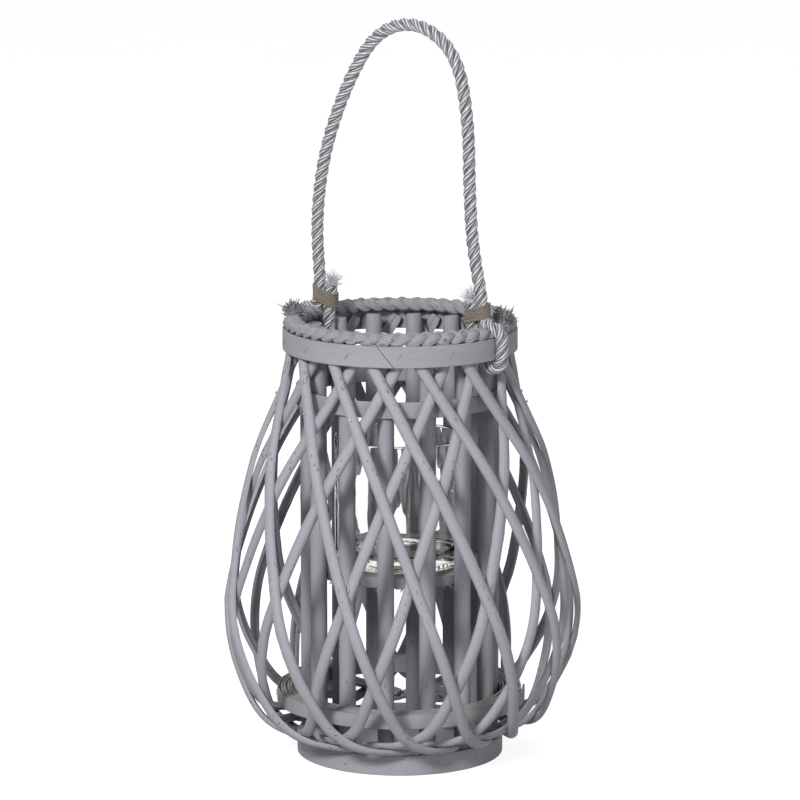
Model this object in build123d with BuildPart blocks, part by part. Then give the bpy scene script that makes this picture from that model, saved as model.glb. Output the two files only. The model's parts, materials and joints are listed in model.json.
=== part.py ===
"""Willow hurricane candle lantern with a glass jar and a rope handle, in millimetres.

Origin at the centre of the foot, on the floor. +Z is up and the front faces -Y.
An azimuth is counted in degrees from the front, positive to the right.
"""

import os
from math import asin, atan2, cos, dist, hypot, pi, radians, sin, tan

from build123d import *

os.makedirs("parts", exist_ok=True)

# ---------------------------------------------------------------- driving sizes
wood_fit = 0.1  # gap between pieces that lie against each other

upright_count = 14
upright_d = 11.4
upright_ring_r = 62.9  # radius of the circle that the uprights stand on
upright_drop = 1.0  # below the top band's upper edge
upright_chamfer = 0.6

foot_band_t, foot_band_h = 2.4, 14.0
coil_strip_t, coil_strip_h = 2.0, 10.5
coil_turns, coil_gap, coil_z = 7, 0.25, 36.0
hoop_t, hoop_h, hoop_z = 2.6, 11.0, 247.0
top_band_t, top_band_h, top_band_z = 2.5, 14.5, 283.0
strip_cut = 0.4  # gap where the two ends of a bent strip meet

rod_w, rod_t = 8.0, 4.2  # split willow rod, flat on its inner side
rod_layer_gap = 0.3  # between the two layers of rods
rod_lean = 42.0  # radius times the sine of a rod's lean, the same all along a rod
foot_sweep, foot_sweep_z = 26.0, 42.0  # more lean, in degrees, from this height down to the foot
rod_sections = 21
belly_r, belly_z = 125.2, 98.0  # widest point of the lattice
rod_top_drop = 4.5  # below the top band's upper edge
lattice_fit = 0.5  # between the lattice and the top band

shelf_t, shelf_z = 8.0, 126.5
shelf_notch_w, shelf_notch_deep, shelf_notch_at = 2.2, 3.0, -29.0

glass_d, glass_h, glass_wall, glass_base = 90.0, 88.0, 3.0, 7.0
glass_heel_r, glass_inner_r, glass_rim_r = 2.0, 9.0, 1.4
glass_punt_d, glass_punt_deep = 60.0, 1.2

plait_w, plait_h, plait_corner = 14.0, 7.4, 3.2
plait_set_in = 0.4  # from the top band's outer face
plait_ends = (-97.0, 71.0)  # where the front and back plaits meet
plait_end_gap = 1.5  # degrees

rope_d = 8.8
tie_at = 53.5  # azimuth of the right tie, the left one is opposite
rope_gap = 0.4
rope_pair = 9.1  # between the rope and its end, side by side in the binding
rope_end_up = 3.0  # the rope's end stands this far above the binding
handle_up = 7.0  # from the binding to the line that the handle swings about
binding_t, binding_h = 1.6, 7.5
binding_up = 3.5  # above the plaits

staple_wire, staple_crown, staple_leg = 0.7, 5.2, 2.0
staple_lean = 40.0  # degrees from upright
pin_d, pin_head_d, pin_head_h = 1.2, 2.0, 0.5

# azimuths of the uprights, and of each rod where it leaves the top band
upright_at = [-8.8, 17.2, 42.3, 68.6, 94.0, 120.0, 145.5, 171.2, 197.0, 222.2, 248.8,
              274.2, 298.6, 325.4]
outer_at = [-63.0, -38.0, -15.5, 9.2, 35.5, 65.6, 91.0, 116.5, 141.0, 163.5, 185.0,
            208.0, 241.5, 269.5]
inner_at = [-54.0, -25.3, -0.5, 26.3, 46.5, 76.0, 98.5, 120.5, 142.5, 168.0, 194.0,
            219.0, 246.0, 275.0]

# the handle's corners, across the lantern and up from the line that it swings about,
# for a rim whose plaits have this radius
handle_rim_r = 73.0
handle_corners = [(-68.5, -2), (-72, 42), (-65, 89), (-46.5, 135.5), (-20.5, 175.5),
                  (15.5, 184.5), (47.5, 164.5), (57, 119), (58, 72), (60.5, 36), (69, -2)]

# ---------------------------------------------------------------- worked out
upright_out_r = upright_ring_r + upright_d / 2
upright_in_r = upright_ring_r - upright_d / 2
strip_r = upright_out_r + wood_fit  # inside of every strip bent round the uprights
layer_depth = rod_t + rod_layer_gap
top_band_r = strip_r + 2 * rod_t + rod_layer_gap + lattice_fit  # inside of the top band
top_band_top = top_band_z + top_band_h
upright_top = top_band_top - upright_drop
coil_pitch = coil_strip_t + coil_gap
glass_z = shelf_z + shelf_t
plait_z = top_band_top + wood_fit
plait_r = top_band_r + top_band_t - plait_w / 2 - plait_set_in
binding_z = plait_z + plait_h + binding_up
handle_z = binding_z + binding_h + handle_up
handle_route = [(across * plait_r / handle_rim_r, handle_z + up)
                for across, up in handle_corners]
lattice_r = top_band_r - lattice_fit  # outside of the lattice within the top band
foot_corner_r = strip_r + foot_band_t + wood_fit


def around(azimuth, radius, z=0.0):
    """A point at an azimuth and a radius."""
    a = radians(azimuth)
    return Vector(radius * sin(a), -radius * cos(a), z)


def radial(azimuth, radius=0.0, z=0.0):
    """The upright plane that holds the axis: X outward, Y up."""
    out = around(azimuth, 1)
    side = out.cross(Vector(0, 0, 1))
    return Plane(origin=around(azimuth, radius, z), x_dir=out, z_dir=side)


def facing(azimuth, radius, z):
    """A plane that touches a cylinder: X to the right, Y up, Z outward."""
    out = around(azimuth, 1)
    return Plane(origin=around(azimuth, radius, z), x_dir=Vector(0, 0, 1).cross(out), z_dir=out)


def fillet_radii(points):
    """The largest arcs that leave a tenth of each run straight."""
    radii = []
    for a, b, c in zip(points, points[1:], points[2:]):
        turn = atan2(c[1] - b[1], c[0] - b[0]) - atan2(b[1] - a[1], b[0] - a[0])
        turn = abs((turn + pi) % (2 * pi) - pi)
        radii.append(0.45 * min(dist(a, b), dist(b, c)) / tan(turn / 2))
    return radii


def save(builder, label):
    """Name a finished sub-part and write it out."""
    builder.part.label = label
    export_step(builder.part, f"parts/{label}.step")


# ---------------------------------------------------------------- uprights
for number, azimuth in enumerate(upright_at, 1):
    with BuildPart() as upright:
        with BuildSketch(Plane(around(azimuth, upright_ring_r))):
            Circle(upright_d / 2)
        extrude(amount=upright_top)
        chamfer(upright.edges().group_by(Axis.Z)[-1], upright_chamfer)
    save(upright, f"upright_{number:02d}")


# ---------------------------------------------------------------- bent strips
def bent_strip(inner_r, thickness, height, z, joint_at, joint_lean):
    """A flat strip bent to a ring, its ends meeting in a leaning cut."""
    with BuildPart() as strip:
        with BuildSketch(Plane.XY.offset(z)):
            Circle(inner_r + thickness)
            Circle(inner_r, mode=Mode.SUBTRACT)
        extrude(amount=height)
        with BuildSketch(facing(joint_at, inner_r - 1, z + height / 2)):
            Rectangle(strip_cut, 2 * height, rotation=joint_lean)
        extrude(amount=thickness + 2, mode=Mode.SUBTRACT)
    return strip


save(bent_strip(strip_r, foot_band_t, foot_band_h, 0, 150, 30), "foot_band")
save(bent_strip(strip_r, hoop_t, hoop_h, hoop_z, -57, 8), "upper_hoop")
save(bent_strip(top_band_r, top_band_t, top_band_h, top_band_z, -7, 38), "top_band")

# The coil is one strip wound round the uprights. Each half turn is half a circle, and
# the centres swap from one side of the axis to the other to carry it outward.
with BuildPart() as coil:
    with BuildSketch(Plane.XY.offset(coil_z)):
        with BuildLine():
            for edge_r in (strip_r, strip_r + coil_strip_t):
                for half in range(2 * coil_turns):
                    side = -1 if half % 2 == 0 else 1
                    r = edge_r + coil_pitch / 4 + half * coil_pitch / 2
                    CenterArc((side * coil_pitch / 4, 0), r, 0 if side < 0 else 180, 180)
            for end_r in (strip_r, strip_r + coil_turns * coil_pitch):
                Line((end_r, 0), (end_r + coil_strip_t, 0))
        make_face()
    extrude(amount=coil_strip_h)
save(coil, "coil_hoop")

# ---------------------------------------------------------------- lattice rods
# the lattice's outer outline, from inside the top band down to the foot band's edge
with BuildLine(Plane.XZ) as outline:
    Spline(
        (lattice_r, top_band_top - rod_top_drop),
        (lattice_r, top_band_z + 4),
        (lattice_r + 5.2, top_band_z - 20),
        (belly_r - 21.2, belly_z + 106),
        (belly_r - 6.8, belly_z + 50),
        (belly_r, belly_z),
        (belly_r - 9.5, belly_z - 42),
        (belly_r - 33, belly_z - 77.5),
        (foot_corner_r + 2.4, foot_band_h + 0.6),
    )
outline_edge = outline.line.edge()


def lean_at(at):
    """A rod's lean from upright, where it passes a point of the outline."""
    low = max(0.0, (foot_sweep_z - at.Z) / (foot_sweep_z - foot_band_h))
    return asin(rod_lean / at.X) + radians(foot_sweep) * low


def lattice_path(azimuth, hand, depth):
    """Section planes down one rod. hand is 1 to the right on its way down, -1 to the left."""
    steps = 12 * (rod_sections - 1)
    run = outline_edge.length / steps
    turned, turned_at_band, stations = 0.0, 0.0, []
    for step in range(steps + 1):
        at = outline_edge.position_at(step / steps)
        down = outline_edge.tangent_at(step / steps)
        if at.Z > top_band_z:
            turned_at_band = turned
        if step % 12 == 0:
            stations.append((at, down, turned))
        turned += tan(lean_at(at)) * run / at.X
    planes = []
    for at, down, angle in stations:
        a = radians(azimuth) + hand * (angle - turned_at_band)
        out, along = Vector(sin(a), -cos(a), 0), Vector(cos(a), sin(a), 0)
        up = Vector(0, 0, 1)
        normal = out * -down.Z + up * down.X
        lean = lean_at(at)
        path = (out * down.X + up * down.Z) * cos(lean) + along * (hand * sin(lean))
        origin = out * at.X + up * at.Z - normal * (depth + rod_t)
        planes.append(Plane(origin=origin, x_dir=normal.cross(path), z_dir=path))
    return planes


def split_rod(azimuth, hand, depth):
    """A split willow rod, bent over the lattice's outline."""
    with BuildPart() as rod:
        for plane in lattice_path(azimuth, hand, depth):
            with BuildSketch(plane):
                with BuildLine():
                    ThreePointArc((-rod_w / 2, 0), (0, rod_t), (rod_w / 2, 0))
                    Line((rod_w / 2, 0), (-rod_w / 2, 0))
                make_face()
        loft()
    return rod


for number, azimuth in enumerate(outer_at, 1):
    save(split_rod(azimuth, 1, 0), f"outer_rod_{number:02d}")
for number, azimuth in enumerate(inner_at, 1):
    save(split_rod(azimuth, -1, layer_depth), f"inner_rod_{number:02d}")

# ---------------------------------------------------------------- shelf and glass
with BuildPart() as shelf:
    with BuildSketch(Plane.XY.offset(shelf_z)):
        Circle(upright_in_r - wood_fit)
    extrude(amount=shelf_t)
    with BuildSketch(Plane.XY.offset(shelf_z).rotated((0, 0, shelf_notch_at - 90))):
        with Locations((upright_in_r, 0)):
            Rectangle(2 * shelf_notch_deep, shelf_notch_w)
    extrude(amount=shelf_t, mode=Mode.SUBTRACT)
save(shelf, "shelf_disc")

glass_r = glass_d / 2
with BuildPart() as glass:
    with BuildSketch(Plane.XZ):
        with BuildLine():
            Polyline(
                (0, glass_z + glass_punt_deep),
                (glass_punt_d / 2 - 3, glass_z + glass_punt_deep),
                (glass_punt_d / 2, glass_z),
                (glass_r, glass_z),
                (glass_r, glass_z + glass_h),
                (glass_r - glass_wall, glass_z + glass_h),
                (glass_r - glass_wall, glass_z + glass_base),
                (0, glass_z + glass_base),
                close=True,
            )
        glass_face = make_face()
        corners = glass_face.vertices()
        fillet(corners.group_by(Axis.X)[-1].sort_by(Axis.Y)[0], glass_heel_r)
    revolve(axis=Axis.Z)
    fillet(glass.edges().group_by(Axis.Z)[-1], glass_rim_r)
    floor_edge = glass.edges().filter_by_position(
        Axis.Z, glass_z + glass_base - 0.1, glass_z + glass_base + 0.1
    )
    fillet(floor_edge, glass_inner_r)
save(glass, "glass_jar")


# ---------------------------------------------------------------- rim plaits
def plait(start, end):
    """Half of the plaited rim, from one azimuth round to another."""
    with BuildPart() as half:
        with BuildSketch(radial(start + plait_end_gap / 2)):
            with Locations((plait_r, plait_z + plait_h / 2)):
                RectangleRounded(plait_w, plait_h, plait_corner)
        revolve(axis=Axis.Z, revolution_arc=end - start - plait_end_gap)
    return half


save(plait(plait_ends[0], plait_ends[1]), "rim_plait_front")
save(plait(plait_ends[1], plait_ends[0] + 360), "rim_plait_back")


# ---------------------------------------------------------------- rope, loops, bindings
tie_left_r, tie_right_r = -handle_route[0][0], handle_route[-1][0]
handle_plane = radial(tie_at)

with BuildPart() as handle:
    with BuildLine(handle_plane) as handle_line:
        FilletPolyline(*handle_route, radius=fillet_radii(handle_route))
    route = handle_line.wire()
    with BuildSketch(Plane(origin=route @ 0, z_dir=route % 0)):
        Circle(rope_d / 2)
    sweep(path=route)
save(handle, "handle_rope")
print("handle bends", [round(r, 1) for r in fillet_radii(handle_route)])
print("handle length", round(route.length, 1), "volume", round(handle.part.volume),
      "of", round(pi * rope_d**2 / 4 * route.length))


def rope_loop(azimuth, tie_r):
    """The rope's way down, round the top band and back up beside itself."""
    out_r = top_band_r + top_band_t + rope_d / 2 + rope_gap
    in_r = min(plait_r - plait_w / 2, upright_out_r) - rope_d / 2 - rope_gap
    low_z = top_band_z - rope_d / 2 - rope_gap
    end_r = tie_r - rope_pair
    tight = rope_d / 2 + rope_gap
    over_z = top_band_top + rope_d / 2 + rope_gap
    route = [
        (tie_r, handle_z - hypot(handle_corners[0][1], rope_d / 2) - rope_gap),
        (tie_r, over_z + 1.5),
        (out_r, over_z),
        (out_r, low_z),
        (in_r, low_z),
        (in_r, over_z),
        (end_r, binding_z - 1),
        (end_r, binding_z + binding_h + rope_end_up),
    ]
    with BuildPart() as loop:
        with BuildLine(radial(azimuth)) as loop_line:
            FilletPolyline(*route, radius=[tight] * 3 + [2 * tight, tight, tight])
        path = loop_line.wire()
        with BuildSketch(Plane(origin=path @ 0, z_dir=path % 0)):
            Circle(rope_d / 2)
        sweep(path=path)
    return loop


def binding(azimuth, tie_r):
    """Twine wound round the rope and its end."""
    centre = around(azimuth, tie_r - rope_pair / 2, binding_z)
    with BuildPart() as twine:
        with BuildSketch(Plane(origin=centre, x_dir=around(azimuth, 1), z_dir=(0, 0, 1))):
            SlotCenterToCenter(rope_pair, rope_d + 2 * binding_t)
            SlotCenterToCenter(rope_pair, rope_d + 2 * wood_fit, mode=Mode.SUBTRACT)
        extrude(amount=binding_h)
    return twine


for side, azimuth, tie_r in (("left", tie_at - 180, tie_left_r), ("right", tie_at, tie_right_r)):
    save(rope_loop(azimuth, tie_r), f"{side}_rope_loop")
    save(binding(azimuth, tie_r), f"{side}_twine_binding")


# ---------------------------------------------------------------- staples and pins
def coil_face_r(azimuth):
    """The radius of the coil's outermost turn, which starts and ends at +X."""
    turns = coil_turns - 1 + (azimuth - 90) % 360 / 360
    return strip_r + coil_pitch * turns + coil_strip_t


def staples(places, z):
    """Wire staples driven slantwise into a strip's outer face, from azimuths and radii."""
    with BuildPart() as group:
        for azimuth, radius in places:
            face = facing(azimuth, radius + wood_fit, z)
            leg = Vector(sin(radians(staple_lean)), cos(radians(staple_lean)))
            leg *= (staple_crown - staple_wire) / 2
            with BuildSketch(face):
                Rectangle(staple_wire, staple_crown, rotation=-staple_lean)
            extrude(amount=staple_wire / 2)
            with BuildSketch(face):
                with Locations((leg.X, leg.Y), (-leg.X, -leg.Y)):
                    Rectangle(staple_wire, staple_wire, rotation=-staple_lean)
            extrude(amount=-staple_leg)
    return group


every = 360 / upright_count
save(staples([(azimuth + 4, strip_r + foot_band_t) for azimuth in upright_at],
             foot_band_h / 2), "foot_band_staples")
save(staples([(-52 + every * k, top_band_r + top_band_t)
              for k in range(upright_count) if k not in (4, 11)],
             top_band_z + top_band_h / 2), "top_band_staples")
save(staples([(azimuth, coil_face_r(azimuth))
              for azimuth in (-36 + 2 * every * k for k in range(upright_count // 2))],
             coil_z + coil_strip_h / 2), "coil_staples")

pin_z = 257.0
with BuildPart() as pins:
    for azimuth in outer_at:
        stations = lattice_path(azimuth, 1, -rod_t)
        above = max((p for p in stations if p.origin.Z < pin_z), key=lambda p: p.origin.Z)
        outward = above.y_dir
        with BuildSketch(Plane(origin=above.origin - outward * 0.2, z_dir=outward)):
            Circle(pin_head_d / 2)
        extrude(amount=pin_head_h)
        with BuildSketch(Plane(origin=above.origin - outward * 0.2, z_dir=outward)):
            Circle(pin_d / 2)
        extrude(amount=-rod_t + 0.8)
save(pins, "crossing_pins")
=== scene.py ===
"""Looks for the willow hurricane lantern, in metres. The wire staples and pins are the frame's own
meshes with a new finish, and every other piece is rebuilt in its place."""
import json
from math import asin, atan2, cos, exp, pi, radians, sin, sqrt, tan
from random import Random

import bmesh
import bpy
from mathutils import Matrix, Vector, noise


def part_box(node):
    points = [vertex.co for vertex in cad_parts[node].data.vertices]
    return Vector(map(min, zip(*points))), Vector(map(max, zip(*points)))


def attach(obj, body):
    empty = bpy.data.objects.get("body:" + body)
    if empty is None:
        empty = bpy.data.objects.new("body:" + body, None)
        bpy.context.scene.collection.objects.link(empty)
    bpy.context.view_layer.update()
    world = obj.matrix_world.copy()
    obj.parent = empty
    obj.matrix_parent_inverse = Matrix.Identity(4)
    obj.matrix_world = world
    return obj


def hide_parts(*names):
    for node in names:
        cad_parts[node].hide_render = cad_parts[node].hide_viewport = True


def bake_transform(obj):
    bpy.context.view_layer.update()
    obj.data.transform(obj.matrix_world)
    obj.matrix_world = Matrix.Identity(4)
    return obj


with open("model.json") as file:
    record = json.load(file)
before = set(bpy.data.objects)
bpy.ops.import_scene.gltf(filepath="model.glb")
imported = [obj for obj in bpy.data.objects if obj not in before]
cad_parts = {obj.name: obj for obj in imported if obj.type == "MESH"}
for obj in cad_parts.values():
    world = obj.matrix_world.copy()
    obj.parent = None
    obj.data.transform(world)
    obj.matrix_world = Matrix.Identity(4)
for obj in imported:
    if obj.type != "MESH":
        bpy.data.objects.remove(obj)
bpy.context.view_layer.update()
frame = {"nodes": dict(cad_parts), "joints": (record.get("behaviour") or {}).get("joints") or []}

MM = 0.001
UP = Vector((0, 0, 1))


# ------------------------------------------------------------------ shader groups
class Wiring:
    """Adds nodes to one tree and joins them by name."""

    def __init__(self, tree):
        self.tree = tree

    def add(self, kind, values=None, **settings):
        node = self.tree.nodes.new(kind)
        for key, value in settings.items():
            setattr(node, key, value)
        for key, value in (values or {}).items():
            socket = node.inputs[key]
            if isinstance(value, bpy.types.NodeSocket):
                self.tree.links.new(value, socket)
            else:
                socket.default_value = value
        return node

    def math(self, operation, a, b=0.0, clamp=False):
        node = self.add("ShaderNodeMath", {0: a, 1: b}, operation=operation, use_clamp=clamp)
        return node.outputs[0]

    def mix(self, factor, a, b, blend="MIX"):
        node = self.add("ShaderNodeMix", data_type="RGBA", blend_type=blend)
        for index, value in ((0, factor), (6, a), (7, b)):
            if isinstance(value, bpy.types.NodeSocket):
                self.tree.links.new(value, node.inputs[index])
            else:
                node.inputs[index].default_value = value
        return node.outputs[2]

    def ramp(self, factor, low, high, start=0.0, end=1.0):
        """start where factor is low, end where it is high."""
        node = self.add("ShaderNodeMapRange", {0: factor, 1: low, 2: high, 3: start, 4: end},
                        interpolation_type="SMOOTHSTEP")
        return node.outputs[0]

    def noise(self, vector, scale, detail=3.0, rough=0.55):
        values = {"Vector": vector, "Scale": scale, "Detail": detail, "Roughness": rough}
        return self.add("ShaderNodeTexNoise", values).outputs["Fac"]


def group(name, inputs, outputs):
    """An empty shader group with its sockets; gives the tree, its wiring and both ends."""
    tree = bpy.data.node_groups.new(name, "ShaderNodeTree")
    for label, kind, value in inputs:
        socket = tree.interface.new_socket(label, in_out="INPUT", socket_type=kind)
        if value is not None:
            socket.default_value = value
    for label, kind in outputs:
        tree.interface.new_socket(label, in_out="OUTPUT", socket_type=kind)
    wiring = Wiring(tree)
    return tree, wiring, wiring.add("NodeGroupInput"), wiring.add("NodeGroupOutput")


def fill(wiring, end, **values):
    for label, socket in values.items():
        wiring.tree.links.new(socket, end.inputs[label])


def make_paint_group():
    """Thin matt paint over wood: streaks along the grain, patches, dark flecks."""
    tree, w, start, end = group(
        "painted_grain",
        [("Paint", "NodeSocketColor", (0.3, 0.3, 0.34, 1)),
         ("Dark", "NodeSocketColor", (0.09, 0.09, 0.1, 1)),
         ("Grain", "NodeSocketFloat", 1.0), ("Flecks", "NodeSocketFloat", 0.5),
         ("Seed", "NodeSocketFloat", 0.0)],
        [("Color", "NodeSocketColor"), ("Height", "NodeSocketFloat"), ("Roughness", "NodeSocketFloat")])
    uv = w.add("ShaderNodeUVMap").outputs["UV"]
    shift = w.add("ShaderNodeCombineXYZ", {"Z": start.outputs["Seed"]}).outputs[0]
    seeded = w.add("ShaderNodeVectorMath", {0: uv, 1: shift}, operation="ADD").outputs[0]
    streak_at = w.add("ShaderNodeMapping", {"Vector": seeded, "Scale": (1400.0, 42.0, 1.0)}).outputs[0]
    streak = w.noise(streak_at, 1.0, 5.0, 0.62)
    fine_at = w.add("ShaderNodeMapping", {"Vector": seeded, "Scale": (3600.0, 190.0, 1.0)}).outputs[0]
    fine = w.noise(fine_at, 1.0, 3.0, 0.6)
    patch_at = w.add("ShaderNodeMapping", {"Vector": seeded, "Scale": (90.0, 26.0, 1.0)}).outputs[0]
    patch = w.noise(patch_at, 1.0, 4.0, 0.6)
    speck_at = w.add("ShaderNodeMapping", {"Vector": seeded, "Scale": (950.0, 300.0, 1.0)}).outputs[0]
    speck = w.noise(speck_at, 1.0, 2.0, 0.5)
    crowd = w.ramp(patch, 0.47, 0.66)
    crowding = w.math("MULTIPLY", crowd, w.math("MULTIPLY", start.outputs["Flecks"], 0.09))
    threshold = w.math("SUBTRACT", 0.74, crowding)
    fleck = w.math("MULTIPLY", w.math("SUBTRACT", speck, threshold), 25.0, clamp=True)
    lighter = w.mix(w.math("MULTIPLY", w.ramp(patch, 0.35, 0.75), 0.28),
                    start.outputs["Paint"], (0.42, 0.42, 0.45, 1))
    grain = w.math("MULTIPLY", w.ramp(streak, 0.40, 0.24), w.math("MULTIPLY", start.outputs["Grain"], 0.55))
    streaked = w.mix(grain, lighter, start.outputs["Dark"])
    color = w.mix(w.math("MULTIPLY", fleck, 0.8), streaked, start.outputs["Dark"])
    height = w.math("SUBTRACT", w.math("ADD", w.math("MULTIPLY", streak, 0.7), w.math("MULTIPLY", fine, 0.3)),
                    w.math("MULTIPLY", fleck, 0.5))
    rough = w.math("ADD", 0.6, w.math("MULTIPLY", patch, 0.22))
    fill(w, end, Color=color, Height=height, Roughness=rough)
    return tree


def make_yarn_group():
    """Fine yarns winding round a strand, with stray fibres: a painted highlight on each yarn's crown and
    painted shade between the yarns, plus painted shade on the strand's faces that turn in towards the other
    strands, as strong as the crease input.
    """
    tree, w, start, end = group(
        "twisted_yarn",
        [("Yarn", "NodeSocketColor", (0.5, 0.5, 0.5, 1)), ("Shade", "NodeSocketColor", (0.1, 0.1, 0.1, 1)),
         ("Ridges", "NodeSocketFloat", 2600.0), ("Twist", "NodeSocketFloat", 300.0),
         ("Fuzz", "NodeSocketFloat", 0.5),
         ("Girth", "NodeSocketFloat", 0.0135), ("Crease_Shade", "NodeSocketFloat", 0.0)],
        [("Color", "NodeSocketColor"), ("Height", "NodeSocketFloat"), ("Roughness", "NodeSocketFloat")])
    uv = w.add("ShaderNodeSeparateXYZ", {0: w.add("ShaderNodeUVMap").outputs["UV"]})
    turn = w.math("ADD", w.math("MULTIPLY", uv.outputs["X"], start.outputs["Ridges"]),
                  w.math("MULTIPLY", uv.outputs["Y"], start.outputs["Twist"]))
    crown = w.math("ADD", w.math("MULTIPLY", w.math("COSINE", turn), 0.5), 0.5)
    fibre_at = w.add("ShaderNodeCombineXYZ", {"X": w.math("MULTIPLY", turn, 1.3),
                                              "Y": w.math("MULTIPLY", uv.outputs["Y"], 170.0)})
    fibre = w.noise(fibre_at.outputs[0], 1.0, 5.0, 0.7)
    patch_at = w.add("ShaderNodeMapping", {"Vector": w.add("ShaderNodeUVMap").outputs["UV"],
                                           "Scale": (160.0, 110.0, 1.0)})
    patch = w.noise(patch_at.outputs[0], 1.0, 3.0)
    depth = w.math("ADD", w.math("MULTIPLY", crown, 0.5),
                   w.math("MULTIPLY", fibre, w.math("ADD", start.outputs["Fuzz"], 0.2)))
    shine = w.math("ADD", depth, w.math("MULTIPLY", w.math("SUBTRACT", patch, 0.5), 0.5))
    # painted shade: a strand's faces that turn in towards the other strands are darkened, as much as the
    # crease input asks
    share_round = w.math("DIVIDE", uv.outputs["X"], start.outputs["Girth"])
    outward = w.math("COSINE", w.math("MULTIPLY", share_round, 2 * pi))
    crease = w.math("MULTIPLY", w.ramp(outward, 0.62, 0.12), start.outputs["Crease_Shade"])
    # painted highlight on each yarn's crown, painted shade between the yarns and in the strand's creases
    lit = w.math("MULTIPLY", w.ramp(shine, 0.3, 0.85), w.math("SUBTRACT", 1.0, crease))
    color = w.mix(lit, start.outputs["Shade"], start.outputs["Yarn"])
    rough = w.math("SUBTRACT", 0.6, w.math("MULTIPLY", fibre, 0.3))
    fill(w, end, Color=color, Height=depth, Roughness=rough)
    return tree


PAINTED_GRAIN = make_paint_group()
TWISTED_YARN = make_yarn_group()


# ------------------------------------------------------------------ materials
def material(name, **shader):
    """A material with one Principled shader; gives it, its wiring and the shader."""
    mat = bpy.data.materials.new(name)
    mat.use_nodes = True
    w = Wiring(mat.node_tree)
    surface = mat.node_tree.nodes["Principled BSDF"]
    for key, value in shader.items():
        surface.inputs[key.replace("_", " ")].default_value = value
    return mat, w, surface


def effect(w, tree, values):
    node = w.add("ShaderNodeGroup", node_tree=tree)
    for key, value in values.items():
        node.inputs[key].default_value = value
    return node


def bumped(w, surface, height, strength, distance):
    bump = w.add("ShaderNodeBump", {"Height": height, "Strength": strength, "Distance": distance})
    w.tree.links.new(bump.outputs[0], surface.inputs["Normal"])


def painted(name, paint, grain, flecks, strength=0.5, seed=0.0, raw_edges=False):
    """A painted wood finish. raw_edges bares the wood on faces that look up or down."""
    mat, w, surface = material(name, Specular_IOR_Level=0.35)
    coat = effect(w, PAINTED_GRAIN, {"Paint": (*paint, 1), "Dark": tuple(0.3 * c for c in paint) + (1,),
                                     "Grain": grain, "Flecks": flecks, "Seed": seed})
    color = coat.outputs["Color"]
    if raw_edges:  # bare, worn wood on the strip's upper and lower edges
        side = w.add("ShaderNodeSeparateXYZ", {0: w.add("ShaderNodeNewGeometry").outputs["Normal"]})
        edge = w.ramp(w.math("ABSOLUTE", side.outputs["Z"]), 0.55, 0.85)
        along = w.add("ShaderNodeMapping", {"Vector": w.add("ShaderNodeUVMap").outputs["UV"],
                                            "Scale": (900.0, 60.0, 1.0)})
        worn = w.noise(along.outputs[0], 1.0, 5.0, 0.7)
        bare = w.mix(w.ramp(worn, 0.3, 0.7), (0.13, 0.115, 0.10, 1), (0.37, 0.345, 0.315, 1))
        color = w.mix(w.math("MULTIPLY", edge, w.ramp(worn, 0.2, 0.42, 0.35, 1.0)), color, bare)
    w.tree.links.new(color, surface.inputs["Base Color"])
    w.tree.links.new(coat.outputs["Roughness"], surface.inputs["Roughness"])
    bumped(w, surface, coat.outputs["Height"], strength, 0.0006)
    return mat


YARN_COUNT, STRAND_GIRTH = 6, 13.5 * MM  # yarns round a strand, and the strand's girth
YARN_TWIST = -260.0  # radians per metre


def spun(name, yarn, shade, ridges, twist, fuzz, strength, crease=0.0, **shader):
    """Twisted yarns with a painted highlight on each yarn's crown and painted shade between the yarns; crease
    paints shade where the strands meet. A Roughness given for the shader is the same all over.
    """
    mat, w, surface = material(name, **shader)
    yarns = effect(w, TWISTED_YARN, {"Yarn": (*yarn, 1), "Shade": (*shade, 1), "Ridges": ridges,
                                     "Twist": twist, "Fuzz": fuzz, "Girth": STRAND_GIRTH, "Crease_Shade": crease})
    w.tree.links.new(yarns.outputs["Color"], surface.inputs["Base Color"])
    if "Roughness" not in shader:
        w.tree.links.new(yarns.outputs["Roughness"], surface.inputs["Roughness"])
    bumped(w, surface, yarns.outputs["Height"], strength, 0.0004)
    return mat


jar_low, jar_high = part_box("glass_jar")


def glass_material():
    mat, w, surface = material("clear_pressed_glass", Transmission_Weight=1.0, IOR=1.47, Roughness=0.015)
    place = w.add("ShaderNodeTexCoord").outputs["Object"]
    height = w.add("ShaderNodeSeparateXYZ", {0: place}).outputs["Z"]
    heel = w.ramp(height, jar_low.z + 10 * MM, jar_low.z + 3 * MM)
    tint = w.mix(heel, (0.985, 0.995, 0.988, 1), (0.86, 0.91, 0.80, 1))
    w.tree.links.new(tint, surface.inputs["Base Color"])
    stretched = w.add("ShaderNodeMapping", {"Vector": place, "Scale": (1.0, 1.0, 0.35)}).outputs[0]
    ripple = w.noise(stretched, 55.0, 2.0, 0.4)
    bumped(w, surface, ripple, 0.35, 0.002)
    return mat


def wire_material():
    mat, w, surface = material("painted_wire", Metallic=0.15)
    spots = w.noise(w.add("ShaderNodeTexCoord").outputs["Object"], 900.0, 3.0)
    color = w.mix(w.ramp(spots, 0.42, 0.55), (0.16, 0.16, 0.175, 1), (0.36, 0.362, 0.395, 1))
    w.tree.links.new(color, surface.inputs["Base Color"])
    w.tree.links.new(w.ramp(spots, 0.3, 0.7, 0.3, 0.55), surface.inputs["Roughness"])
    return mat


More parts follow.
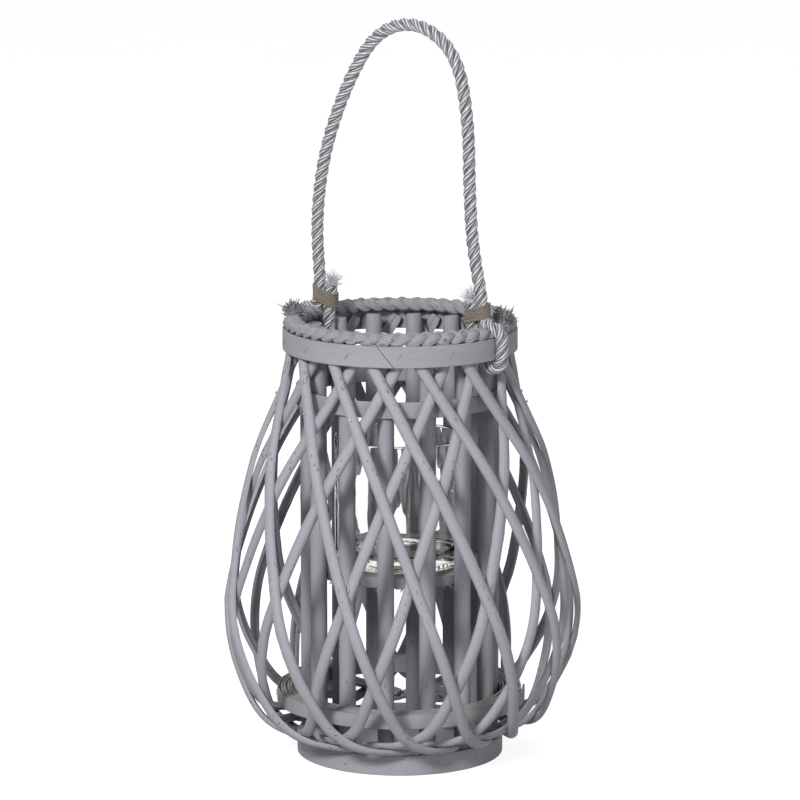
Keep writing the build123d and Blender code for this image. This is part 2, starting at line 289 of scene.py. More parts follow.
WILLOW = painted("grey_willow", (0.295, 0.297, 0.330), 0.6, 1.3, 0.55)
SPLIT_WILLOW = painted("grey_split_willow", (0.305, 0.307, 0.340), 0.6, 2.1, 0.55, seed=3.0)
STRIP = painted("grey_strip", (0.295, 0.297, 0.328), 0.9, 0.7, 0.8, seed=7.0)
COIL_STRIP = painted("grey_strip_bare_edges", (0.295, 0.297, 0.325), 0.5, 0.5, 0.6, seed=11.0,
                     raw_edges=True)
BOARD = painted("grey_board", (0.28, 0.28, 0.305), 1.3, 1.0, 1.0, seed=15.0)
RUSH = painted("grey_rush", (0.255, 0.257, 0.282), 2.2, 2.0, 1.0, seed=19.0)
FRAYED_RUSH = painted("grey_frayed_rush", (0.20, 0.20, 0.215), 1.5, 0.7, 1.0, seed=23.0)
# each rope and twine below gets a lit yarn colour and a painted shade colour for between its yarns;
# crease=0.85 adds painted shade where the silver rope's strands meet
SILVER_ROPE = spun("silver_rope", (0.56, 0.56, 0.595), (0.095, 0.095, 0.11),
                   2 * pi * YARN_COUNT / STRAND_GIRTH, YARN_TWIST, 0.4, 0.5, crease=0.85,
                   Sheen_Weight=0.25, Sheen_Roughness=0.35, Specular_IOR_Level=0.6)
FRAYED_ROPE = spun("frayed_rope", (0.86, 0.86, 0.88), (0.52, 0.52, 0.55), 2600.0, 300.0, 0.5, 0.3,
                   Sheen_Weight=0.3, Sheen_Roughness=0.4, Roughness=0.6)
JUTE = spun("jute_twine", (0.25, 0.208, 0.168), (0.06, 0.047, 0.036), 2 * pi * 2 / (3.9 * MM), 3600.0,
            0.7, 0.9, Sheen_Weight=0.2, Roughness=0.85)
GLASS = glass_material()
WIRE = wire_material()


# ------------------------------------------------------------------ mesh making
def skin(name, rings, mat, closed=False, around_m=None, smooth_angle=40.0):
    """A tube through rings of points, with a UV map in metres: round the ring, along the tube.

    around_m spreads the UV evenly round the ring to that length."""
    n, count = len(rings[0]), len(rings)
    verts = [p for ring in rings for p in ring]
    along = [0.0]
    for a, b in zip(rings, rings[1:]):
        along.append(along[-1] + (sum(b, Vector()) - sum(a, Vector())).length / n)
    girth = [0.0]
    for k in range(n):
        edge = (rings[count // 2][(k + 1) % n] - rings[count // 2][k]).length
        girth.append(girth[-1] + (around_m / n if around_m else edge))
    faces, uvs = [], []
    last = count if closed else count - 1
    for i in range(last):
        j = (i + 1) % count
        far = along[j] if j else along[-1] + (along[-1] - along[-2])
        for k in range(n):
            m = (k + 1) % n
            faces.append((i * n + k, i * n + m, j * n + m, j * n + k))
            uvs += [(girth[k], along[i]), (girth[k + 1], along[i]),
                    (girth[k + 1], far), (girth[k], far)]
    if not closed:
        for at, order in ((0, range(n - 1, -1, -1)), (count - 1, range(n))):
            middle = len(verts)
            verts.append(sum(rings[at], Vector()) / n)
            order = list(order)
            for a, b in zip(order, order[1:] + order[:1]):
                faces.append((at * n + a, at * n + b, middle))
                for v in (a, b):
                    flat = rings[at][v] - verts[middle]
                    uvs.append((flat.length * cos(v), flat.length * sin(v)))
                uvs.append((0.0, 0.0))
    mesh = bpy.data.meshes.new(name)
    mesh.from_pydata(verts, [], faces)
    layer = mesh.uv_layers.new(name="UVMap")
    layer.data.foreach_set("uv", [x for uv in uvs for x in uv])
    shell = bmesh.new()
    shell.from_mesh(mesh)
    bmesh.ops.recalc_face_normals(shell, faces=shell.faces)
    shell.to_mesh(mesh)
    shell.free()
    mesh.shade_smooth()
    mesh.set_sharp_from_angle(angle=radians(smooth_angle))
    mesh.materials.append(mat)
    mesh.update()
    obj = bpy.data.objects.new(name, mesh)
    bpy.context.scene.collection.objects.link(obj)
    return obj


def join(name, parts):
    """Joins mesh pieces into one."""
    with bpy.context.temp_override(active_object=parts[0], object=parts[0],
                                   selected_editable_objects=parts, selected_objects=parts):
        bpy.ops.object.join()
    parts[0].name = parts[0].data.name = name
    return parts[0]


def drift(seed, along, scale):
    """Smooth noise from -1 to 1 along a length."""
    return noise.noise(Vector((along * scale, seed * 7.31, seed * 1.17)))


def around(azimuth, radius, z=0.0):
    """A point at an azimuth in radians from the front, and a radius."""
    return Vector((radius * sin(azimuth), -radius * cos(azimuth), z))


def curve_points(points, resolution=16):
    """Points along a smooth NURBS line that has these control points."""
    data = bpy.data.curves.new("route", "CURVE")
    data.dimensions = "3D"
    spline = data.splines.new("NURBS")
    spline.points.add(len(points) - 1)
    for point, place in zip(spline.points, points):
        point.co = (*place, 1)
    spline.order_u = 3
    spline.use_endpoint_u = True
    data.resolution_u = resolution
    obj = bpy.data.objects.new("route", data)
    bpy.context.scene.collection.objects.link(obj)
    bpy.context.view_layer.update()
    mesh = bpy.data.meshes.new_from_object(obj)
    found = [v.co.copy() for v in mesh.vertices]
    bpy.data.objects.remove(obj)
    return found


def even(points, step):
    """The same line with its points evenly spaced."""
    lengths = [0.0]
    for a, b in zip(points, points[1:]):
        lengths.append(lengths[-1] + (b - a).length)
    count = max(2, round(lengths[-1] / step))
    out, k = [], 0
    for i in range(count + 1):
        want = lengths[-1] * i / count
        while k < len(points) - 2 and lengths[k + 1] < want:
            k += 1
        span = lengths[k + 1] - lengths[k]
        out.append(points[k].lerp(points[k + 1], (want - lengths[k]) / span if span else 0.0))
    return out


def frames(points, first_side):
    """A side and a cross direction at each point, carried along without twist."""
    side, out = first_side.copy(), []
    for i, p in enumerate(points):
        ahead = (points[min(i + 1, len(points) - 1)] - points[max(i - 1, 0)]).normalized()
        side = (side - ahead * side.dot(ahead)).normalized()
        out.append((p, side, ahead.cross(side), ahead))
    return out


def fibres(name, root, direction, spread, count, length, thick, mat, seed, curl=0.35):
    """A tuft of thin fibres from one place."""
    rng = Random(seed)
    parts = []
    for k in range(count):
        push = (direction + Vector([rng.uniform(-1, 1) * spread for _ in range(3)])).normalized()
        start = root + Vector([rng.uniform(-1, 1) for _ in range(3)]) * length * 0.22
        reach = length * rng.uniform(0.55, 1.0)
        bend = Vector([rng.uniform(-1, 1) * curl for _ in range(3)])
        line = [start + (push + bend * (s / 5)) * reach * s / 5 for s in range(6)]
        side = push.orthogonal().normalized()
        rings = []
        for s, (p, x, y, _) in enumerate(frames(line, side)):
            r = thick * (1 - 0.6 * s / 5) * 0.5
            rings.append([p + (x * cos(b) + y * sin(b)) * r for b in (2 * pi * j / 5 for j in range(5))])
        parts.append(skin("fibre", rings, mat))
    return join(name, parts)


# ------------------------------------------------------------------ lattice rods
band_low, band_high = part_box("top_band")
foot_low, foot_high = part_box("foot_band")
BAND_R = band_high.x
BAND_IN_R = BAND_R - 2.5 * MM
LATTICE_R = BAND_IN_R - 0.5 * MM
BELLY_R = max(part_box(f"outer_rod_{k:02d}")[1].x for k in range(1, 15))
BELLY_Z = 98 * MM
ROD_W, ROD_T, LAYER = 8.0 * MM, 4.2 * MM, 4.5 * MM
ROD_LEAN = 42.0 * MM
FOOT_SWEEP, FOOT_SWEEP_Z = radians(26.0), 42.0 * MM

OUTLINE = [
    (LATTICE_R, band_high.z - 4.5 * MM), (LATTICE_R, band_low.z + 4 * MM),
    (LATTICE_R + 5.2 * MM, band_low.z - 20 * MM), (BELLY_R - 21.2 * MM, BELLY_Z + 106 * MM),
    (BELLY_R - 6.8 * MM, BELLY_Z + 50 * MM), (BELLY_R, BELLY_Z), (BELLY_R - 9.5 * MM, BELLY_Z - 42 * MM),
    (BELLY_R - 33 * MM, BELLY_Z - 77.5 * MM), (foot_high.x + 1.4 * MM, foot_high.z + 0.4 * MM)]


def through(points, per_span=24):
    """A smooth line through 2-D points."""
    out = []
    padded = [points[0], *points, points[-1]]
    for p0, p1, p2, p3 in zip(padded, padded[1:], padded[2:], padded[3:]):
        chord = sqrt((p2[0] - p1[0]) ** 2 + (p2[1] - p1[1]) ** 2)
        before = sqrt((p1[0] - p0[0]) ** 2 + (p1[1] - p0[1]) ** 2) or chord
        after = sqrt((p3[0] - p2[0]) ** 2 + (p3[1] - p2[1]) ** 2) or chord
        m1 = [chord * ((p2[i] - p1[i]) / chord * before + (p1[i] - p0[i]) / before * chord)
              / (before + chord) for i in (0, 1)]
        m2 = [chord * ((p3[i] - p2[i]) / after * chord + (p2[i] - p1[i]) / chord * after)
              / (after + chord) for i in (0, 1)]
        for k in range(per_span):
            t = k / per_span
            h = (2 * t**3 - 3 * t**2 + 1, t**3 - 2 * t**2 + t, -2 * t**3 + 3 * t**2, t**3 - t**2)
            place = [h[0] * p1[i] + h[1] * m1[i] + h[2] * p2[i] + h[3] * m2[i] for i in (0, 1)]
            out.append(Vector(place + [0]))
    return out + [Vector((*points[-1], 0))]


OUTLINE_LINE = even(through(OUTLINE), 2.6 * MM)


def rod_top(node):
    """The azimuth of a rod's upper end."""
    mesh = frame["nodes"][node].data
    top = max(v.co.z for v in mesh.vertices)
    cut = [v.co for v in mesh.vertices if v.co.z > top - 4.6 * MM]
    x, y = (sum(c[i] for c in cut) / len(cut) for i in (0, 1))
    return atan2(x, -y)


def split_rod(node, hand, depth, seed):
    """One split willow rod: round outside, flat inside with a shallow pith groove."""
    rng = Random(seed)
    knots = [rng.uniform(0.06, 0.94) for _ in range(3)]
    width, thick = ROD_W * rng.uniform(0.95, 1.05), ROD_T * rng.uniform(0.93, 1.0)
    turned, rings = rod_top(node), []
    count = len(OUTLINE_LINE)
    for i, at in enumerate(OUTLINE_LINE):
        ahead = OUTLINE_LINE[min(i + 1, count - 1)] - OUTLINE_LINE[max(i - 1, 0)]
        down = ahead.normalized()
        low = max(0.0, (FOOT_SWEEP_Z - at.y) / (FOOT_SWEEP_Z - foot_high.z))
        lean = asin(ROD_LEAN / at.x) + FOOT_SWEEP * low
        if i:
            turned += hand * tan(lean) * (at - OUTLINE_LINE[i - 1]).length / at.x
        share = i / (count - 1)
        loose = min(1.0, 6 * share, 5 * (1 - share))
        angle = turned + loose * drift(seed, share, 3.2) * 0.011
        out, along = Vector((sin(angle), -cos(angle), 0)), Vector((cos(angle), sin(angle), 0))
        normal = out * -down.y + UP * down.x
        path = (out * down.x + UP * down.y) * cos(lean) + along * (hand * sin(lean))
        across = normal.cross(path)
        knot = sum(exp(-((share - k) / 0.011) ** 2) for k in knots)
        w = width / 2 * (1 + 0.05 * drift(seed + 5, share, 9) + 0.06 * knot)
        t = thick * (1 + 0.06 * drift(seed + 9, share, 11) + 0.05 * knot)
        tip = min(1.0, 0.82 + 40 * share, 0.82 + 40 * (1 - share))
        w, t = w * tip, t * tip
        base = out * at.x + UP * at.y - normal * (depth + ROD_T)
        section = []
        for k in range(11):
            a = pi - pi * k / 10
            section.append((w * cos(a), t * (0.16 + 0.84 * sin(a) ** 0.86 if 0 < k < 10 else 0.16)))
        section += [(w * 0.97, 0.0), (w * 0.45, 0.0), (w * 0.14, 0.05 * t), (0.0, 0.17 * t),
                    (-w * 0.14, 0.05 * t), (-w * 0.45, 0.0), (-w * 0.97, 0.0)]
        rings.append([base + across * x + normal * y for x, y in section])
    rings[0] = [p + UP * (0.5 * MM * sin(3 * k)) for k, p in enumerate(rings[0])]
    piece = skin(f"{node}_willow", rings, SPLIT_WILLOW, smooth_angle=50)
    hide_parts(node)
    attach(piece, "lantern")


for k in range(1, 15):
    split_rod(f"outer_rod_{k:02d}", 1, 0.0, k)
    split_rod(f"inner_rod_{k:02d}", -1, LAYER, 40 + k)


# ------------------------------------------------------------------ uprights
def round_rod(node, seed):
    """A round willow rod with slight bends and knots."""
    low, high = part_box(node)
    centre, radius = (low + high) / 2, (high.x - low.x) / 2
    rng = Random(seed)
    knots = [rng.uniform(0.05, 0.95) for _ in range(3)]
    rings, count = [], 74
    for i in range(count + 1):
        share = i / count
        z = low.z + (high.z - low.z) * share
        r = radius * (0.985 + 0.02 * drift(seed, share, 8))
        for k in knots:
            r += 0.3 * MM * exp(-((share - k) / 0.012) ** 2)
        edge = min(share, 1 - share) * (high.z - low.z)
        if edge < 0.9 * MM:
            r -= 0.6 * MM * (1 - edge / (0.9 * MM))
        free = sin(pi * share)
        x = centre.x + 0.35 * MM * free * drift(seed + 3, share, 4)
        y = centre.y + 0.35 * MM * free * drift(seed + 6, share, 4)
        lift = 0.5 * MM if i == count else 0.0
        ring = []
        for a in (2 * pi * j / 22 for j in range(22)):
            uneven = r * (1 + 0.015 * sin(3 * a + seed))
            ring.append(Vector((x + uneven * cos(a), y + uneven * sin(a), z - lift + lift * cos(a + seed))))
        rings.append(ring)
    piece = skin(f"{node}_willow", rings, WILLOW, smooth_angle=35)
    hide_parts(node)
    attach(piece, "lantern")


for k in range(1, 15):
    round_rod(f"upright_{k:02d}", 100 + k)


# ------------------------------------------------------------------ bent strips
def strip_section(thickness, height, rounding=0.35 * MM):
    """A flat strip's corners: (inward 0 to thickness outward, height from the middle)."""
    t, h, r = thickness, height / 2, rounding
    rise = [h - r, h * 0.5, 0.0, -h * 0.5, -h + r]
    return ([(t, z) for z in reversed(rise)] + [(t - r, h), (t * 0.5, h), (r, h)] + [(0.0, z) for z in rise]
            + [(r, -h), (t * 0.5, -h), (t - r, -h)])


def wound_strip(name, path, thickness, height, z, mat, seed, shear=0.0, ragged=0.0):
    """A strip bent along path: a list of (azimuth, inner radius)."""
    rings = []
    for i, (azimuth, radius) in enumerate(path):
        place = azimuth * radius
        t = thickness * (1 + 0.10 * drift(seed, place, 30))
        rise = ragged * (drift(seed + 2, place, 55) + 0.5 * drift(seed + 4, place, 240))
        ring = []
        for x, y in strip_section(t, height):
            edge = rise + 0.25 * ragged * drift(seed + 8, place + x * 3, 420) if y > 0 else 0.4 * rise
            wave = 0.12 * MM * drift(seed + 6, place, 28)
            ring.append(around(azimuth + shear * y / radius, radius + x + wave, z + y + edge))
        rings.append(ring)
    return skin(name, rings, mat, smooth_angle=35)


def ring_path(radius, start, turn, steps=260, lap=0.0):
    """Round a circle from an azimuth, the last part stepping out by lap over its first part."""
    path = []
    for i in range(steps + 1):
        share = i / steps
        over = max(0.0, (share - 0.93) / 0.05)
        ease = min(1.0, over)
        path.append((radians(start + turn * share), radius + lap * ease ** 2 * (3 - 2 * ease)))
    return path


def band(node, thickness, start, shear, turn=359.6, lap=0.0, seed=1):
    """A flat strip bent round the lantern, from an azimuth, with a leaning joint."""
    low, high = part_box(node)
    inner = (high.x - low.x) / 2 - thickness
    piece = wound_strip(f"{node}_strip", ring_path(inner, start, turn, lap=lap), thickness,
                        high.z - low.z, (low.z + high.z) / 2, STRIP, seed, shear)
    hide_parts(node)
    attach(piece, "lantern")


band("foot_band", 2.4 * MM, 150.2, 0.6, seed=201)
band("top_band", 2.5 * MM, -6.8, -0.78, seed=202)
band("upper_hoop", 2.6 * MM, -71, 0.0, turn=372, lap=3.2 * MM, seed=203)

coil_low, coil_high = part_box("coil_hoop")
COIL_TURNS, COIL_T, COIL_STEPS = 7, 1.55 * MM, 110  # steps in one turn
coil_in = foot_high.x - 2.4 * MM
coil_pitch = (coil_high.x - coil_in - COIL_T) / COIL_TURNS
coil_path = []
for i in range(COIL_TURNS * COIL_STEPS + 1):
    turns = i / COIL_STEPS
    slack = 0.24 * MM * sin(2 * pi * turns * 1.618) * min(1.0, turns, COIL_TURNS - turns)
    coil_path.append((radians(90 + 360 * turns), coil_in + coil_pitch * turns + slack))
coil = wound_strip("coil_strip", coil_path, COIL_T, coil_high.z - coil_low.z - 0.8 * MM,
                   (coil_low.z + coil_high.z) / 2, COIL_STRIP, 210, ragged=0.9 * MM)
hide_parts("coil_hoop")
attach(coil, "lantern")


# ------------------------------------------------------------------ shelf
shelf_low, shelf_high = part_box("shelf_disc")
shelf_r = (shelf_high.x - shelf_low.x) / 2
SHELF_STEPS, SHELF_SPLIT_AT, WHISKERS = 420, radians(360 - 29), 46
# the board's outline, as shares of its radius and its height
rows = [(0.0, 1.0), (0.55, 1.0), (0.9, 1.0), (0.985, 1.0), (1.0, 0.93), (1.0, 0.6), (1.0, 0.3),
        (0.995, 0.08), (0.975, 0.0), (0.9, 0.0), (0.5, 0.0)]
shelf_rings = []
for i in range(SHELF_STEPS):
    a = 2 * pi * i / SHELF_STEPS
    split = exp(-((a - SHELF_SPLIT_AT) / 0.016) ** 2)
    ring = []
    for reach, height in rows:
        coarse = 0.9 * MM * noise.noise(Vector((a * 60, height * 4, 0.3)))
        torn = (1 - height) ** 2 * (coarse + 0.5 * MM * noise.noise(Vector((a * 190, 1.0, 2.0))))
        rough = 0.35 * MM * noise.noise(Vector((a * 110, height * 9, 5.0)))
        at_edge = reach > 0.95
        r = shelf_r * reach + (torn + rough if at_edge else 0.0) - (2.6 * MM * split if at_edge else 0.0)
        drop = 0.8 * MM * noise.noise(Vector((a * 150, 0, 9.0))) if height < 0.1 and at_edge else 0.0
        ring.append(around(a, max(r, 0.05 * MM), shelf_low.z + (shelf_high.z - shelf_low.z) * height + drop))
    shelf_rings.append(ring)
shelf_parts = [skin("shelf_board", shelf_rings, BOARD, closed=True)]
for k in range(WHISKERS):
    a = 2 * pi * (k + 0.6 * drift(3, k, 0.77)) / WHISKERS
    foot = around(a, shelf_r - 0.6 * MM, shelf_low.z + 0.3 * MM)
    shelf_parts.append(fibres("whisker", foot, Vector((0, 0, -1)) + around(a, 0.2), 0.55, 5, 3.2 * MM,
                              0.55 * MM, BOARD, 700 + k))
shelf = join("shelf_board", shelf_parts)
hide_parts("shelf_disc")
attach(shelf, "lantern")


# ------------------------------------------------------------------ glass jar
jar_r, jar_h = (jar_high.x - jar_low.x) / 2, jar_high.z - jar_low.z
WALL, BASE = 3.0 * MM, 7.0 * MM


def arc(cx, cz, r, start, end, steps):
    """Points on a part of a circle, from one angle to another."""
    angles = [radians(start + (end - start) * k / steps) for k in range(steps + 1)]
    return [(cx + r * cos(a), cz + r * sin(a)) for a in angles]


jar_profile = ([(0.0, 1.2 * MM), (0.55 * jar_r, 1.2 * MM), (0.66 * jar_r, 0.25 * MM), (0.9 * jar_r, 0.0)]
               + arc(jar_r - 1.6 * MM, 1.6 * MM, 1.6 * MM, -90, 0, 5)
               + [(jar_r, 3.0 * MM), (jar_r - 0.5 * MM, 3.8 * MM), (jar_r - 0.1 * MM, 5.0 * MM)]
               + [(jar_r - 0.1 * MM, jar_h * k / 6) for k in range(1, 6)]
               + arc(jar_r - 1.5 * MM, jar_h - 1.5 * MM, 1.5 * MM, 0, 180, 10)
               + [(jar_r - WALL, jar_h * k / 6) for k in range(5, 1, -1)]
               + arc(jar_r - WALL - 9 * MM, BASE + 9 * MM, 9 * MM, 0, -90, 9)
               + [(jar_r * 0.4, BASE + 0.3 * MM), (0.0, BASE + 0.5 * MM)])
JAR_STEPS, JAR_BEADS = 288, 72
jar_rings = []
for i in range(JAR_STEPS):
    a = 2 * pi * i / JAR_STEPS
    ring = []
    for r, z in jar_profile:
        at_heel = 0.2 * MM < z < 3.2 * MM and r > 0.93 * jar_r
        bead = 0.35 * MM * (0.5 + 0.5 * cos(JAR_BEADS * a)) if at_heel else 0.0
        ring.append(around(a, max(r - bead, 0.02 * MM), jar_low.z + z))
    jar_rings.append(ring)
jar = skin("glass_jar_pressed", jar_rings, GLASS, closed=True, smooth_angle=60)
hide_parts("glass_jar")
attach(jar, "glass")


# ------------------------------------------------------------------ rim plait
def plait(node, start, end, seed):
    """Half of the plaited rim: three flat strands over and under each other."""
    low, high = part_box(node)
    z = (low.z + high.z) / 2
    radius = BAND_R - 7.3 * MM
    period = 29.0 * MM
    arc_length = radians(end - start) * radius
    steps = int(arc_length / (0.95 * MM))
    parts = []
    for strand in range(3):
        line = []
        for i in range(steps + 1):
            s = arc_length * i / steps
            phase = 2 * pi * s / period + 2 * pi * strand / 3 + 0.35 * drift(seed, s, 30)
            reach = 3.9 * MM * (1 + 0.12 * drift(seed + strand, s, 50))
            angle = radians(start) + s / radius
            height = z - 1.45 * MM * sin(2 * phase) + 0.3 * MM * drift(seed + 9, s, 40)
            line.append(around(angle, radius + reach * sin(phase), height))
        rings = []
        for i, p in enumerate(line):
            ahead = (line[min(i + 1, steps)] - line[max(i - 1, 0)]).normalized()
            phase = 2 * pi * (arc_length * i / steps) / period + 2 * pi * strand / 3
            out = Vector((p.x, p.y, 0)).normalized()
            roll = 0.95 * sin(phase)
            wide = out * cos(roll) - UP * sin(roll)
            wide = (wide - ahead * wide.dot(ahead)).normalized()
            tall = ahead.cross(wide)
            plump = 1 + 0.08 * drift(seed + 20 + strand, i, 0.3)
            ends = min(1.0, 0.75 + 0.08 * min(i, steps - i))
            ring = []
            for j in range(24):
                b = 2 * pi * j / 24
                crease = (1 + 0.075 * sin(7 * b + seed + strand + 0.05 * i)
                          + 0.04 * drift(seed + strand, i * 0.12 + 9 * b, 1.0))
                ring.append(p + wide * (3.5 * MM * plump * ends * cos(b) * crease)
                            + tall * (2.5 * MM * plump * ends * sin(b) * crease))
            rings.append(ring)
        parts.append(skin("plait_strand", rings, RUSH, smooth_angle=60))
    heart = []  # the strands' inner leaves, which fill the middle of the plait
    for i in range(steps // 4 + 1):
        angle = radians(start) + 4 * arc_length * i / steps / radius
        p, out = around(angle, radius, z - 1.9 * MM), around(angle, 1.0)
        heart.append([p + out * (2.9 * MM * cos(b)) + UP * (1.9 * MM * sin(b))
                      for b in (2 * pi * j / 12 for j in range(12))])
    parts.append(skin("plait_heart", heart, RUSH, smooth_angle=60))
    for at, way in ((start, -1), (end, 1)):
        a = radians(at)
        ahead = Vector((cos(a), sin(a), 0)) * way
        root = around(a, radius, z + 1.0 * MM)
        parts.append(fibres("fray", root + UP * 2.0 * MM - ahead * 2 * MM,
                            ahead * 0.8 + UP * 0.75 + around(a, 0.1), 0.75, 230,
                            9.5 * MM, 1.35 * MM, FRAYED_RUSH, seed + at))
    piece = join(f"{node}_rush", parts)
    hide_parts(node)
    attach(piece, "lantern")


plait("rim_plait_front", -96.0, 70.0, 301)
plait("rim_plait_back", 72.0, 262.0, 302)


# ------------------------------------------------------------------ rope
ROPE_D, LAY = 8.8 * MM, 24.5 * MM  # the rope's diameter, and the length of one turn of a strand
ROPE_PAIR = 9.1  # millimetres between the rope and its end, side by side in the binding
STRAND_R = 2.12 * MM
hinge = next(j for j in frame["joints"] if j["name"] == "handle_swing")
across = Vector(hinge["axis"]).normalized()


def laid_rope(points, first_side, mat, seed, phase=0.0, unravel=0.0):
    """Three strands laid round the line points."""
    parts = []
    stations = frames(points, first_side)
    length = sum((b - a).length for a, b in zip(points, points[1:]))
    step = length / (len(points) - 1)
    for strand in range(3):
        centres = []
        for i, (p, x, y, _) in enumerate(stations):
            s = i * step
            open_up = 1 + unravel * max(0.0, (s - length + 8 * MM) / (8 * MM)) ** 2
            a = phase + 2 * pi * (s / LAY + strand / 3)
            centres.append(p + (x * cos(a) + y * sin(a)) * (ROPE_D / 2 - STRAND_R) * open_up)
        rings = []
        for i, (c, (p, x, y, ahead)) in enumerate(zip(centres, stations)):
            run = (centres[min(i + 1, len(centres) - 1)] - centres[max(i - 1, 0)]).normalized()
            out = (c - p).normalized()
            out = (out - run * out.dot(run)).normalized()
            flank = run.cross(out)
            puff = 1 + 0.04 * drift(seed + strand, i * step, 220)
            ring = []
            for j in range(42):
                b = 2 * pi * j / 42
                yarn = 0.055 * cos(YARN_COUNT * b + YARN_TWIST * i * step * 1.2)
                r = STRAND_R * (puff + yarn)
                ring.append(c + out * (r * cos(b)) + flank * (1.08 * r * sin(b)))
            rings.append(ring)
        parts.append(skin("strand", rings, mat, around_m=STRAND_GIRTH, smooth_angle=70))
    return parts


def in_handle_plane(points):
    return [across * (x * MM) + UP * (z * MM) for x, z in points]


# across the lantern and up, in millimetres
handle_route = [(-68.5, 314), (-68.5, 321), (-72, 365), (-65, 412), (-46.5, 458.5), (-20.5, 498.5),
                (15.5, 507.5), (47.5, 487.5), (57, 442), (58, 395), (60.5, 359), (69, 321), (69, 314)]
handle_line = even(curve_points(in_handle_plane(handle_route)), 1.3 * MM)
across_level = UP.cross(across)
handle_rope = join("handle_rope_laid", laid_rope(handle_line, across_level, SILVER_ROPE, 401))
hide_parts("handle_rope")
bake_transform(handle_rope)


def rope_loop(node, side, tie_r, seed):
    """The rope's tied end: down, round the top band and up to its frayed tip."""
    out = across * side
    tip_r = tie_r - ROPE_PAIR
    outer = BAND_R / MM + ROPE_D / MM / 2 + 0.4
    route = [(tie_r, 318.5), (tie_r, 311), (tie_r + 3, 305.5), (outer - 1.5, 303.0),
             (outer + 0.6, 294), (outer + 0.2, 282), (outer - 3.5, 277.0), (74, 277.2), (62.5, 280),
             (61.0, 292), (61.0, 303), (tip_r + 0.4, 309), (tip_r, 320.5)]
    line = even(curve_points([out * (r * MM) + UP * (z * MM) for r, z in route]), 1.2 * MM)
    parts = laid_rope(line, out.cross(UP), SILVER_ROPE, seed, phase=1.0, unravel=0.35)
    tip = line[-1]
    parts.append(fibres("rope_fray", tip + UP * 0.5 * MM, UP * 1.1 - out * 0.5, 0.8, 170, 7.5 * MM,
                        0.55 * MM, FRAYED_ROPE, seed, curl=0.8))
    piece = join(f"{node}_laid", parts)
    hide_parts(node)
    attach(piece, "lantern")


TWINE_TILT = 0.26


def twine(node, side, tie_r, seed):
    """Twine wound round the rope and its end."""
    low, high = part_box(node)
    out, level = across * side, UP.cross(across * side)
    half_gap, wrap_r, turns, wire = ROPE_PAIR * MM / 2, ROPE_D / 2 + 0.45 * MM, 8.2, 1.3 * MM
    middle = (tie_r * MM) - half_gap
    line, steps = [], 300
    for i in range(steps + 1):
        share = i / steps
        a = 2 * pi * turns * share
        lobe = Vector((cos(a), sin(a), 0))
        slot_x = half_gap * max(-1.0, min(1.0, 1.9 * lobe.x))
        r = wrap_r + 0.35 * MM * drift(seed, i, 0.21)
        across_out = slot_x + lobe.x * r
        z = (low.z - 0.5 * MM + (high.z - low.z + 2.2 * MM) * share + 0.6 * MM * drift(seed + 2, i, 0.13)
             + 0.6 * MM * sin(a + 0.6) + TWINE_TILT * across_out)
        line.append(out * (middle + across_out) + level * (lobe.y * r) + UP * z)
    line = even(line, 0.7 * MM)
    rings = []
    for p, x, y, _ in frames(line, UP):
        rings.append([p + (x * cos(b) + y * sin(b)) * wire / 2 for b in (2 * pi * j / 8 for j in range(8))])
    core = []
    for z in (low.z, (low.z + high.z) / 2, high.z + 0.6 * MM):
        ring = []
        for a in (2 * pi * j / 40 for j in range(40)):
            across_out = half_gap * max(-1.0, min(1.0, 1.9 * cos(a))) + cos(a) * wrap_r * 0.86
            ring.append(out * (middle + across_out) + level * (sin(a) * wrap_r * 0.86)
                        + UP * (z + TWINE_TILT * across_out))
        core.append(ring)
    parts = [skin("wrap", rings, JUTE, smooth_angle=70), skin("wrap_core", core, JUTE, smooth_angle=70)]
    piece = join(f"{node}_wound", parts)
    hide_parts(node)
    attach(piece, "lantern")


for label, side, tie_r, seed in (("left", -1, 68.5, 410), ("right", 1, 69.0, 420)):
    rope_loop(f"{label}_rope_loop", side, tie_r, seed)
    twine(f"{label}_twine_binding", side, tie_r, seed + 5)

# ------------------------------------------------------------------ staples and pins
for node in ("coil_staples", "foot_band_staples", "top_band_staples", "crossing_pins"):
    obj = frame["nodes"][node]
    obj.data.materials.clear()
    obj.data.materials.append(WIRE)

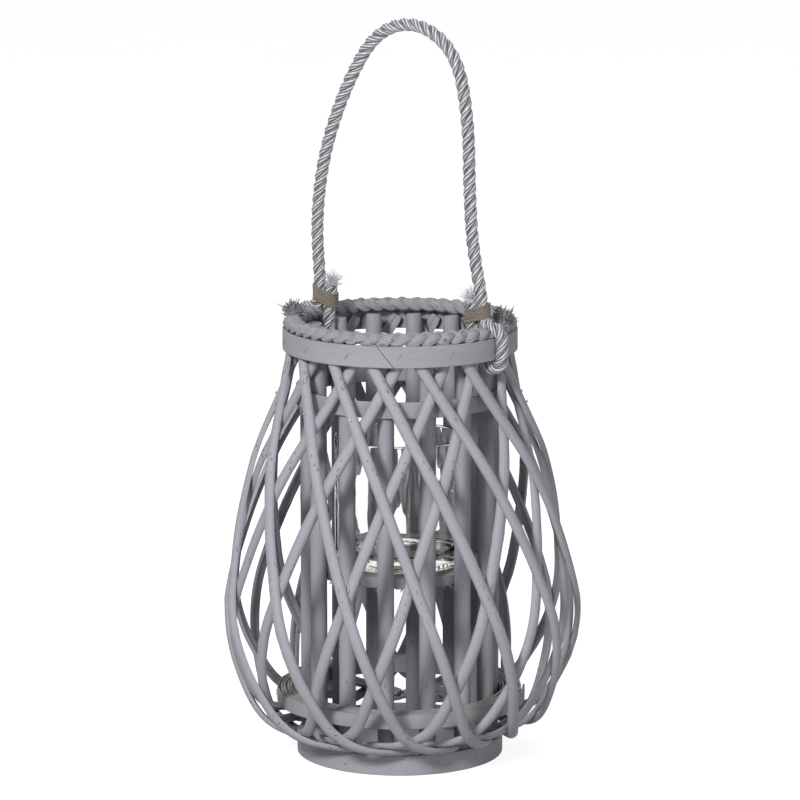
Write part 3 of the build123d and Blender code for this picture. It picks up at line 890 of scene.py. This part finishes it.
# ------------------------------------------------------------------ floor, light, camera
floor_mesh = bpy.data.meshes.new("floor")
floor_mesh.from_pydata([(-12, -8, 0), (12, -8, 0), (12, 14, 0), (-12, 14, 0)], [], [(0, 1, 2, 3)])
floor = bpy.data.objects.new("floor", floor_mesh)
bpy.context.scene.collection.objects.link(floor)
floor_mat, w, surface = material("pale_floor", Roughness=0.9, Specular_IOR_Level=0.1,
                                 Emission_Color=(1, 1, 1, 1))
tone = w.noise(w.add("ShaderNodeTexCoord").outputs["Object"], 2.0)
w.tree.links.new(w.mix(tone, (0.36, 0.36, 0.36, 1), (0.40, 0.40, 0.40, 1)), surface.inputs["Base Color"])


def seen(w):
    """1 for what is looked at, straight, mirrored or through glass, and 0 for light that bounces."""
    path = w.add("ShaderNodeLightPath")
    straight = w.math("MAXIMUM", path.outputs["Is Camera Ray"], path.outputs["Is Transmission Ray"])
    return w.math("MAXIMUM", straight, path.outputs["Is Glossy Ray"])


# the floor in the well inside the foot band lies in shade
floor_at = w.add("ShaderNodeTexCoord").outputs["Object"]
from_axis = w.add("ShaderNodeVectorMath", {0: floor_at}, operation="LENGTH")
open_floor = w.ramp(from_axis.outputs["Value"], foot_high.x - 6 * MM, foot_high.x, 0.05, 0.86)
w.tree.links.new(w.math("MULTIPLY", seen(w), open_floor), surface.inputs["Emission Strength"])
floor_mesh.materials.append(floor_mat)

world = bpy.data.worlds.new("studio")
bpy.context.scene.world = world
world.use_nodes = True
sky = Wiring(world.node_tree)
background = world.node_tree.nodes["Background"]
background.inputs[0].default_value = (1, 1, 1, 1)
world.node_tree.links.new(sky.math("ADD", 0.24, sky.math("MULTIPLY", seen(sky), 0.76)), background.inputs[1])
bpy.context.scene.view_settings.view_transform = "Standard"


def soft_light(name, place, target, size, power):
    data = bpy.data.lights.new(name, "AREA")
    data.shape, data.size, data.energy = "DISK", size, power
    obj = bpy.data.objects.new(name, data)
    obj.location = place
    obj.rotation_euler = (Vector(target) - Vector(place)).to_track_quat("-Z", "Y").to_euler()
    bpy.context.scene.collection.objects.link(obj)


soft_light("key_light", (-0.95, -2.1, 1.5), (0, 0, 0.2), 0.5, 62)
soft_light("fill_light", (1.2, -2.4, 0.7), (0, 0, 0.2), 1.2, 14)
soft_light("top_light", (0.3, 0.9, 2.6), (0, 0.3, 0), 2.0, 18)

camera_data = bpy.data.cameras.new("camera")
camera_data.sensor_width = 36
camera_data.lens = 194.4
camera = bpy.data.objects.new("camera", camera_data)
camera.location = (0, -2.906, 0.8003)
camera.rotation_euler = (radians(90 - 10.79), 0, 0)
bpy.context.scene.collection.objects.link(camera)
bpy.context.scene.camera = camera
